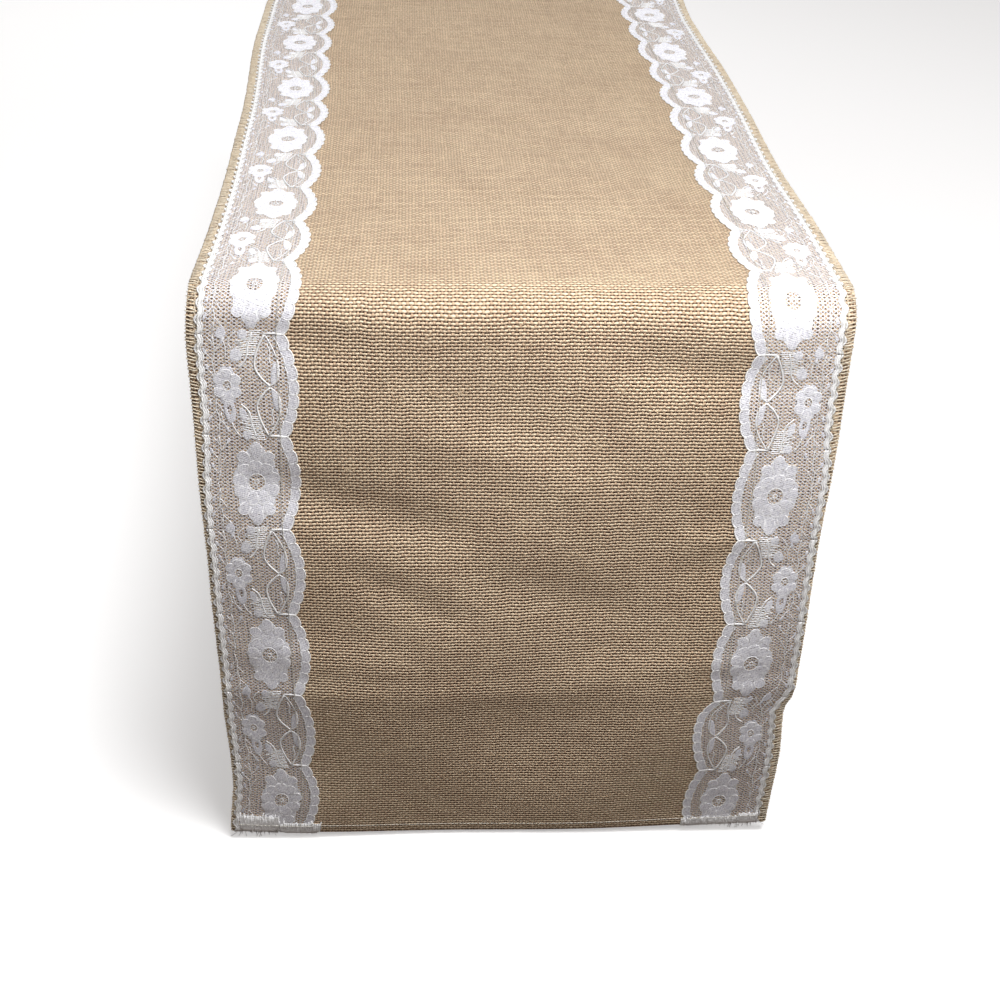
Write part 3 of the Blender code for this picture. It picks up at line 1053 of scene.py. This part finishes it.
def cut_at_ends(mesh):
    """Cuts off what reaches past the cloth's raw ends, and closes the cuts.

    Edges and points go in the order of their faces, so that the cut comes out the same each time.
    """
    bm = bmesh.new()
    bm.from_mesh(mesh)
    for end in (-1, 1):
        where = Vector((0, end * LACE_END, 0))
        near = [f for f in bm.faces if max(end * v.co.y for v in f.verts) > RAW_END - NEAR_THE_CUT]
        edges = dict.fromkeys(e for f in near for e in f.edges)
        points = dict.fromkeys(v for f in near for v in f.verts)
        cut = bmesh.ops.bisect_plane(bm, geom=[*near, *edges, *points], dist=1e-7, plane_co=where,
                                     plane_no=(0, end, 0), clear_outer=True)
        rims = [g for g in cut["geom_cut"] if isinstance(g, bmesh.types.BMEdge) and g.is_boundary]
        bmesh.ops.holes_fill(bm, edges=rims)
    bm.to_mesh(mesh)
    bm.free()


# %% Draping a finished flat mesh
CRISP_ANGLE = math.radians(60)


def read_points(mesh):
    flat = np.zeros(len(mesh.vertices) * 3)
    mesh.vertices.foreach_get("co", flat)
    return flat.reshape(-1, 3)


def draped_piece(name, mesh, finish, adjust=None, crisp=False):
    """Turns a flat mesh into a finished piece: flat places become its UV map, then it is draped.

    crisp keeps steep rims sharp, so that a thin pad's flat top isn't shaded as if it were round.
    """
    flat = read_points(mesh)
    corners = np.zeros(len(mesh.loops), int)
    mesh.loops.foreach_get("vertex_index", corners)
    cloth_map = mesh.uv_layers.new(name="cloth")
    cloth_map.data.foreach_set("uv", flat[corners][:, :2].astype(np.float32).ravel())
    if adjust:
        flat = adjust(flat)
    mesh.vertices.foreach_set("co", drape(flat).astype(np.float32).ravel())
    mesh.materials.clear()
    mesh.materials.append(finish)
    mesh.shade_smooth()
    if crisp:
        mesh.set_sharp_from_angle(angle=CRISP_ANGLE)
    mesh.update()
    piece = bpy.data.objects.new(name, mesh)
    bpy.context.collection.objects.link(piece)
    print(f"{name}: {sum(len(face.vertices) - 2 for face in mesh.polygons)} triangles")
    return piece


# %% [markdown]
# ## The burlap cloth
#
# One closed sheet: a face, a back, and thin rims. The edges are squeezed thinner where the overlocking
# binds them, and each end is turned up into the hem by the draping function.

# %% Where the sheet's points lie
BOUND_WIDTH = 4.5 * MM
BOUND_BACK = 0.6 * MM
SHEET_STEP, LEAST_STEP = 5 * MM, 0.35 * MM


def stretch_marks(limit, step, extra):
    """Evenly spaced distances from -limit to limit, and the extra ones."""
    count = round(2 * limit / step)
    marks = sorted([*np.linspace(-limit, limit, count + 1), *extra])
    kept = [marks[0]]
    for mark in marks[1:]:
        if mark - kept[-1] > LEAST_STEP:
            kept.append(mark)
    kept[-1] = limit
    return np.array(kept)


# %% Burlap sheet
def burlap_sheet():
    bound_marks = [s * (HALF_WIDTH - BOUND_WIDTH - d) for s in (-1, 1) for d in (0, 0.5 * MM)]
    hem_marks = [s * (HEM_START + HEM_BEND * math.pi * k / 6) for s in (-1, 1) for k in range(7)]
    across = stretch_marks(HALF_WIDTH, SHEET_STEP, bound_marks)
    along = stretch_marks(RAW_END, SHEET_STEP, hem_marks)
    points, faces = [], []
    for level in (1, 0):
        for u in across:
            bound = abs(u) > HALF_WIDTH - BOUND_WIDTH - 0.1 * MM
            for v in along:
                points.append((u, v, THICKNESS if level else (BOUND_BACK if bound else 0.05 * MM)))
    rows, columns = len(across), len(along)
    back = rows * columns
    for i in range(rows - 1):
        for j in range(columns - 1):
            k = i * columns + j
            faces.append((k, k + columns, k + columns + 1, k + 1))
            faces.append((back + k, back + k + 1, back + k + columns + 1, back + k + columns))
    for j in range(columns - 1):
        last = (rows - 1) * columns
        faces.append((j, j + 1, back + j + 1, back + j))
        faces.append((last + j + 1, last + j, back + last + j, back + last + j + 1))
    for i in range(rows - 1):
        k, m = i * columns, (i + 1) * columns
        faces.append((m, k, back + k, back + m))
        faces.append((k + columns - 1, m + columns - 1, back + m + columns - 1, back + k + columns - 1))
    return draped_piece("burlap_cloth", flat_mesh("flat_burlap", points, faces), BURLAP)


burlap_cloth = burlap_sheet()


# %% [markdown]
# ## The two lace strips
#
# The left strip has a notch of its scallops exactly at the hem's fold. The right strip was sewn on from
# a different place in its pattern, so it sits a little further along. Each strip is a net sheet with the
# satin motifs and the cords on it.

# %% How the lace was sewn on
SIDES = {"left": -1, "right": 1}
ENDS = {-1: "front", 1: "rear"}
REPEAT_LENGTH = 2 * SCALLOP * MM
SHIFTS = {"left": 0.0, "right": -8 * MM}
LACE_WANDER = {"left": ((0, 3.5), (235, 3.6), (310, 0.8), (400, 0)),
               "right": ((0, 0.5), (100, 0.5), (120, 3.8), (265, 3.8), (305, 0.5), (400, 0))}
EDGING_HEIGHT = 0.35 * MM


def sewn_on(side_name):
    """Lace was guided by hand, so its distance from the cloth's edge wanders.

    Where it comes over the edging thread it lies a little higher.
    """
    def adjust(flat):
        flat[:, 0] += SIDES[side_name] * wander(LACE_WANDER[side_name], flat[:, 1])
        on_edging = smoothstep(6 * MM, 4 * MM, HALF_WIDTH - np.abs(flat[:, 0]))
        flat[:, 2] += EDGING_HEIGHT * (flat[:, 2] > THICKNESS) * on_edging
        return flat
    return adjust


print("the right lace lies", -SHIFTS["right"] / MM, "mm further towards the front than the left")


# %% Motifs, shells and cords
def lace_strip(side_name):
    side = SIDES[side_name]
    first_middle = -FOLD + SCALLOP * MM / 2 - REPEAT_LENGTH + SHIFTS[side_name]
    count = SCALLOPS // 2 + 3
    pieces = []
    for kind, (shape, finish) in LACE_REPEAT.items():
        points = [(side * (LACE_EDGE - a * MM), b * MM, h * MM) for a, b, h in shape.points]
        mesh = repeated(pattern_object(points, shape.faces), count, (0, first_middle, LACE_LEVEL),
                        (0, REPEAT_LENGTH, 0), finish)
        cut_at_ends(mesh)
        pieces.append(draped_piece(f"lace_{kind}_{side_name}", mesh, finish, sewn_on(side_name),
                                   crisp=kind != "cords"))
    return pieces


# %% The net
NET_COLUMNS = 12
NET_MARGIN = 1.4
NET_STEP = 2.4 * MM


def net_edge(v, side_name):
    """How far in from the straight edge the net reaches, in millimetres."""
    f = ((v - SHIFTS[side_name] + FOLD) / (SCALLOP * MM)) % 1.0
    return scallop_line(f, NOTCH, CREST, 2.0) - 0.4


def net_sheet(side_name):
    """One strip's net, and its flat area."""
    side = SIDES[side_name]
    along = np.linspace(-RAW_END + 0.3 * MM, LACE_END, round(2 * RAW_END / NET_STEP))
    points, faces = [], []
    for v in along:
        for k in range(NET_COLUMNS + 1):
            a = NET_MARGIN + (net_edge(v, side_name) - NET_MARGIN) * k / NET_COLUMNS
            points.append((side * (LACE_EDGE - a * MM), v, LACE_LEVEL))
    row = NET_COLUMNS + 1
    for j in range(len(along) - 1):
        for k in range(NET_COLUMNS):
            m = j * row + k
            face = (m, m + 1, m + row + 1, m + row)
            faces.append(face if side < 0 else face[::-1])
    mesh = flat_mesh("flat_net", points, faces)
    area = sum(face.area for face in mesh.polygons)
    return draped_piece(f"lace_net_{side_name}", mesh, NET, sewn_on(side_name)), area


lace = {}
for side_name in SIDES:
    net, net_area = net_sheet(side_name)
    lace[side_name] = {"net": net, "area": net_area, "details": lace_strip(side_name)}


# %% [markdown]
# ## The lace's cut ends
#
# At each hem the lace was turned in with the cloth. It is doubled there, so it shows as a dense white band,
# and its cut threads stand up over it and stick out past the fold at the corners.

# %% Doubled ends
# Blocks of each band: from and to, in from the straight edge, and height above the fold.
END_BANDS = {"left": ((0.8, 26.5, 14.5), (26.5, 52.5, 9.5)), "right": ((0.8, 14, 9), (14, 53, 6.5))}
END_LEVEL = LACE_LEVEL + 0.25 * MM
rng = np.random.default_rng(11)


def box_outline(a0, a1, b0, b1, steps=6):
    """A rectangle's outline with enough points to follow the drape."""
    a, b = np.linspace(a0, a1, steps + 1)[:-1], np.linspace(b0, b1, steps + 1)[:-1]
    low, right = (a, np.full(steps, b0)), (np.full(steps, a1), b)
    high, left = (a1 + a0 - a, np.full(steps, b1)), (np.full(steps, a0), b1 + b0 - b)
    return np.vstack([np.stack(line, 1) for line in (low, right, high, left)])


def end_band(side_name, end):
    side = SIDES[side_name]
    band = FlatPiece()
    for a0, a1, tall in END_BANDS[side_name]:
        band.patch(box_outline(a0, a1, 0.2, tall), 0.12)
    points = [(side * (LACE_EDGE - a * MM), end * (FOLD - b * MM), END_LEVEL + h * MM)
              for a, b, h in band.points]
    mesh = flat_mesh("flat_end", points, band.faces, outward=True)
    return draped_piece(f"lace_end_{side_name}_{ENDS[end]}", mesh, LACE_THREAD)


# %% Threads that stand over the doubled ends
STRAND_STEP = 0.75


def standing_threads(side_name, end, k):
    side = SIDES[side_name]
    a0, a1, tall = END_BANDS[side_name][k]
    strand = FlatPiece()
    strand.cord([(0, 0), (0.15, tall * 0.35), (-0.12, tall * 0.7), (0.05, tall * 0.98)], 0.6, 0.3)
    points = [(a * MM, -end * b * MM, h * MM) for a, b, h in strand.points]
    start = (side * (LACE_EDGE - a0 * MM), end * (FOLD - 0.8 * MM), END_LEVEL + 0.12 * MM)
    mesh = repeated(pattern_object(points, strand.faces), round((a1 - a0) / STRAND_STEP), start,
                    (-side * STRAND_STEP * MM, 0, 0), LACE_THREAD,
                    wander=(0.35 * MM, 0.6 * MM, 0.05 * MM), turn=0.15, change=0.22, seed=20 + k)
    return draped_piece(f"lace_end_threads_{side_name}_{ENDS[end]}_{k}", mesh, LACE_THREAD)


# %% Loose cut threads
LOOSE_THREADS = 26


def loose_threads(side_name, end):
    """Cut threads that leave the fold near the outer corner and hang or stick out a few millimetres."""
    side = SIDES[side_name]
    points, faces = [], []
    for a in rng.uniform(-1.5, 24, LOOSE_THREADS):
        start = [side * (LACE_EDGE - a * MM), end * (FOLD - 0.3 * MM), THICKNESS / 2]
        root = drape(np.array([start]))[0]
        length = rng.uniform(2.0, 5.5) * MM
        reach = rng.normal(0, 0.35) + (0.8 * side if a < 1 else 0)
        path = [root, root + length * np.array((0.4 * reach, 0.25 * end, -0.45)),
                root + length * np.array((reach, 0.3 * end, -0.95))]
        faces += tube(points, path, 0.16 * MM, 4)
    piece = new_object(f"loose_threads_{side_name}_{ENDS[end]}", points, faces)
    outward_mesh(piece)
    piece.data.uv_layers.new(name="cloth")
    piece.data.materials.append(LACE_THREAD)
    piece.data.shade_smooth()
    return piece


for side_name in SIDES:
    for end in ENDS:
        doubled = [end_band(side_name, end)]
        doubled += [standing_threads(side_name, end, k) for k in range(len(END_BANDS[side_name]))]
        lace[side_name]["details"] += [*doubled, loose_threads(side_name, end)]


# %% [markdown]
# ## Overlocking
#
# The long edges are bound by an overlocker: thread runs out over the face, round the raw edge, and back
# underneath, about nine times to the inch, with a chain along its inner side.

# %% Overlocked edges
OVERLOCK_STEP = 2.1 * MM
OVERLOCK_REACH = 4.6


def overlock(side_name):
    side = SIDES[side_name]
    step, reach = OVERLOCK_STEP / MM, OVERLOCK_REACH
    top, thick = THICKNESS / MM + 0.16, THICKNESS / MM
    loop = smooth_curve([(-reach, 0.0, top - 0.12), (-3.0, 0.35, top + 0.14), (-1.2, 0.8, top + 0.12),
                         (0.22, 1.15, thick * 0.85), (0.12, 1.3, 0.42), (-0.9, 1.5, 0.36),
                         (-2.8, 1.8, 0.36), (-reach, 2.1, 0.40)], 2)
    chain = smooth_curve([(-reach - 0.25, -0.2, top - 0.15), (-reach, 0.5 * step, top + 0.15),
                          (-reach + 0.2, step + 0.2, top - 0.15)], 3)
    points, faces = [], []
    for path, radius in ((loop, 0.36), (chain, 0.28)):
        faces += tube(points, path * (side, 1, 1), radius)
    count = int(2 * (RAW_END - 2 * MM) / OVERLOCK_STEP)
    mesh = repeated(pattern_object(np.array(points) * MM, faces), count,
                    (side * HALF_WIDTH, -count * OVERLOCK_STEP / 2, 0), (0, OVERLOCK_STEP, 0), EDGING,
                    wander=(0.2 * MM, 0.25 * MM, 0.0), turn=0.12, change=0.06, seed=7 + side)
    return draped_piece(f"overlock_thread_{side_name}", mesh, EDGING)


overlocks = {side_name: overlock(side_name) for side_name in SIDES}


# %% [markdown]
# ## Seams
#
# Lockstitch shows as a row of short slanting grains on each face: the needle thread above, the bobbin
# thread below. One grain is made and repeated along each seam.

# %% Stitch rows
STITCH = 2.6 * MM
OUTER_SEAM, INNER_SEAM = (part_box(f"lace_{seam}_seam_right_needle_thread") for seam in ("outer", "inner"))
SEAM_U = {"outer": (OUTER_SEAM[0].x + OUTER_SEAM[1].x) / 2, "inner": (INNER_SEAM[0].x + INNER_SEAM[1].x) / 2}
HEM_SEAM_HEIGHT = 7 * MM
HEM_SEAM_V = FOLD - HEM_SEAM_HEIGHT
HEM_BACK_V = HEM_START + math.pi * HEM_BEND + (HEM_SEAM_HEIGHT - HEM_BEND - THICKNESS)
ON_LACE = LACE_LEVEL + 0.42 * MM
ON_CLOTH = THICKNESS + 0.05 * MM
UNDER_CLOTH = 0.12 * MM
THREAD_RADIUS = 0.19


def stitch_row(start, step, count, seed):
    """One stitch rises out of the cloth and dips back in. A row repeats it along the step."""
    half = STITCH / 2 / MM
    path = np.array([(0.0, -half * 0.98, -0.22), (0.06, -half * 0.62, 0.08), (0.1, 0.0, 0.2),
                     (0.06, half * 0.62, 0.08), (0.0, half * 0.98, -0.22)])
    if step[0]:
        path = path[:, (1, 0, 2)] + (0, 0.001, 0)
    points = []
    faces = tube(points, path, THREAD_RADIUS)
    return repeated(pattern_object(np.array(points) * MM, faces), count, start, step, SEWING,
                    wander=(0.05 * MM, 0.05 * MM, 0.0), turn=0.06, change=0.06, seed=seed)


# %% Lace seams
def lace_seam(side_name, seam, layer):
    side = SIDES[side_name]
    level = ON_LACE if layer == "needle" else UNDER_CLOTH
    count = int(2 * (HEM_SEAM_V - 1 * MM) / STITCH)
    mesh = stitch_row((side * SEAM_U[seam], -count * STITCH / 2, level), (0, STITCH, 0), count, 3)
    return draped_piece(f"stitches_{seam}_{side_name}_{layer}", mesh, SEWING, sewn_on(side_name))


seams = {(side_name, seam, layer): lace_seam(side_name, seam, layer) for side_name in SIDES
         for seam in SEAM_U for layer in ("needle", "bobbin")}


# %% Hem seams
def hem_seam(end_name, layer):
    """A row across the runner that climbs on to the lace, and its doubled end, at each side."""
    end = -1 if end_name == "front" else 1
    v = end * (HEM_SEAM_V if layer == "needle" else HEM_BACK_V)
    count = int(2 * (LACE_EDGE - 1 * MM) / STITCH)
    mesh = stitch_row((-count * STITCH / 2, v, ON_CLOTH), (STITCH, 0, 0), count, 5)

    def climb(flat):
        lace_inner = LACE_EDGE - (NOTCH + 2) * MM
        height = ON_LACE - ON_CLOTH + (0.15 * MM if layer == "needle" else 0)
        flat[:, 2] += height * smoothstep(lace_inner - 2 * MM, lace_inner, np.abs(flat[:, 0]))
        return flat
    return draped_piece(f"stitches_hem_{end_name}_{layer}", mesh, SEWING, climb)


hem_seams = {(end_name, layer): hem_seam(end_name, layer)
             for end_name in ENDS.values() for layer in ("needle", "bobbin")}


# %% [markdown]
# ## Loose fibres
#
# Jute sheds. Short curved fibres lie all over the face. The repeating tree scatters them when its wander is
# as wide as the cloth.

# %% Fibres on the face
FIBRE_RADIUS = 0.085


def fibres(name, count, length, seed):
    """Lengths are in millimetres. The thread is three-sided, because there are many of them."""
    path = [(-0.5, 0, 0), (-0.2, 0.12, 0.05), (0.15, 0.1, 0.06), (0.5, -0.08, 0.0)]
    points = []
    faces = tube(points, np.array(path) * (length, length, 3.0), FIBRE_RADIUS, 3)
    step = 2 * (RAW_END - 30 * MM) / count
    mesh = repeated(pattern_object(np.array(points) * MM, faces), count,
                    (0, -count * step / 2, THICKNESS + 0.12 * MM), (0, step, 0), FIBRE,
                    wander=(HALF_WIDTH - 8 * MM, 3 * MM, 0.05 * MM), turn=math.pi, change=0.4, seed=seed)
    return draped_piece(name, mesh, FIBRE)


loose_fibres = [fibres("long_fibres", 700, 7.0, 31), fibres("short_fibres", 1500, 3.5, 32)]


# %% [markdown]
# ## Camera, floor and light
#
# A pale floor lies just under the hanging ends, and a pale wall all round is seen by the camera only. The
# main light stands overhead, a little in front of the near edge, so the hanging ends are darker than the
# top. A small light lifts the bend of the near edge, a weak one fills the rear, and the sky is dim and
# warmer below than above.

# %% Camera
camera_data = bpy.data.cameras.new("camera")
camera_data.lens = 59.0
camera = bpy.data.objects.new("camera", camera_data)
bpy.context.collection.objects.link(camera)
camera.location = (-0.0657, -1.3484, 0.3475)
TURN_RIGHT, TILT_DOWN, ROLL = math.radians(3.91), math.radians(30.42), math.radians(2.02)
facing = Vector((math.sin(TURN_RIGHT) * math.cos(TILT_DOWN), math.cos(TURN_RIGHT) * math.cos(TILT_DOWN),
                 -math.sin(TILT_DOWN)))
camera.rotation_mode = "QUATERNION"
camera.rotation_quaternion = facing.to_track_quat("-Z", "Y") @ Quaternion((0, 0, 1), ROLL)
bpy.context.scene.camera = camera


# %% Floor and backdrop
FLOOR_GAP = 8 * MM
FLOOR_HALF = 6.0
WALL_RADIUS, WALL_SIDES = 5.8, 48
WALL_LOW, WALL_HIGH = -0.6, 6.0


def glowing(name, grey, strength):
    """A grey surface with a white glow of its own."""
    material = bpy.data.materials.new(name)
    material.use_nodes = True
    shader = material.node_tree.nodes["Principled BSDF"]
    shader.inputs["Base Color"].default_value = (grey, grey, grey, 1)
    shader.inputs["Emission Color"].default_value = (1, 1, 1, 1)
    shader.inputs["Emission Strength"].default_value = strength
    return material, shader


def pale_floor():
    material, shader = glowing("pale_floor", 0.82, 0.35)
    shader.inputs["Roughness"].default_value = 0.9
    half, level = FLOOR_HALF, -FOLD_DROP - FLOOR_GAP
    corners = [(-half, -half, level), (half, -half, level), (half, half, level), (-half, half, level)]
    floor = new_object("floor", corners, [(0, 1, 2, 3)])
    floor.data.materials.append(material)
    floor.visible_diffuse = False


def pale_backdrop():
    """A plain wall all round, seen by the camera but neither lit nor casting light or shadow."""
    material, _ = glowing("pale_backdrop", 0, 0.62)
    sides, radius = WALL_SIDES, WALL_RADIUS
    points = [(radius * math.cos(k / sides * math.tau), radius * math.sin(k / sides * math.tau), level)
              for level in (WALL_LOW, WALL_HIGH) for k in range(sides)]
    faces = [(k, (k + 1) % sides, sides + (k + 1) % sides, sides + k) for k in range(sides)]
    wall = new_object("backdrop", points, faces)
    wall.data.materials.append(material)
    wall.data.shade_smooth()
    wall.visible_diffuse = wall.visible_glossy = wall.visible_transmission = wall.visible_shadow = False


pale_floor()
pale_backdrop()


# %% Lights and sky
def soft_light(name, place, target, size, power):
    """A square lamp with its side in metres and its power in watts, aimed at a target."""
    data = bpy.data.lights.new(name, "AREA")
    data.size = size
    data.energy = power
    light = bpy.data.objects.new(name, data)
    bpy.context.collection.objects.link(light)
    light.location = place
    aim = Vector(target) - Vector(place)
    light.rotation_mode = "QUATERNION"
    light.rotation_quaternion = aim.to_track_quat("-Z", "Y")
    light.visible_camera = False


soft_light("overhead", (0.3, -0.95, 2.2), (0, -0.3, 0), 0.8, 53)
soft_light("near_edge", (0.1, -0.82, 0.16), (0, -0.54, -0.05), 0.25, 1.2)
soft_light("rear_fill", (-0.6, 2.0, 0.9), (0, 0.5, -0.15), 0.8, 8)

world = bpy.data.worlds.new("studio")
world.use_nodes = True
sky = world.node_tree
height = add_node(sky, "ShaderNodeSeparateXYZ", None, {0: add_node(sky, "ShaderNodeTexCoord")}, output=2)
SKY_BELOW, SKY_ABOVE = (0.06, 0.035, 0.018), (0.28, 0.265, 0.26)
sky_colour = mix_colours(sky, height.ramp(-0.25, 0.55), SKY_BELOW, SKY_ABOVE)
sky.links.new(sky_colour.socket, sky.nodes["Background"].inputs["Color"])
bpy.context.scene.world = world
bpy.context.scene.view_settings.view_transform = "Standard"


# %% [markdown]
# ## The pieces on the body
#
# Each piece rides on the one body, and the packed node that it stands for, if any, is hidden.

# %% Bodies and nodes
def hand_over(piece, slot, *nodes):
    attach(piece, "root")
    for node in nodes:
        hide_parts(node)


hand_over(burlap_cloth, "burlap", "burlap_panel")
2 * RAW_END
for side_name, parts in lace.items():
    hand_over(parts["net"], "lace", f"lace_{side_name}")
    for piece in parts["details"]:
        hand_over(piece, "lace")
    2 * RAW_END
    hand_over(overlocks[side_name], "edging_thread", f"overlock_{side_name}")
for piece in loose_fibres:
    hand_over(piece, "burlap")
for (side_name, seam, layer), piece in seams.items():
    hand_over(piece, "sewing_thread", f"lace_{seam}_seam_{side_name}_{layer}_thread")
for (end_name, layer), piece in hem_seams.items():
    hand_over(piece, "sewing_thread", f"hem_{end_name}_{layer}_thread")
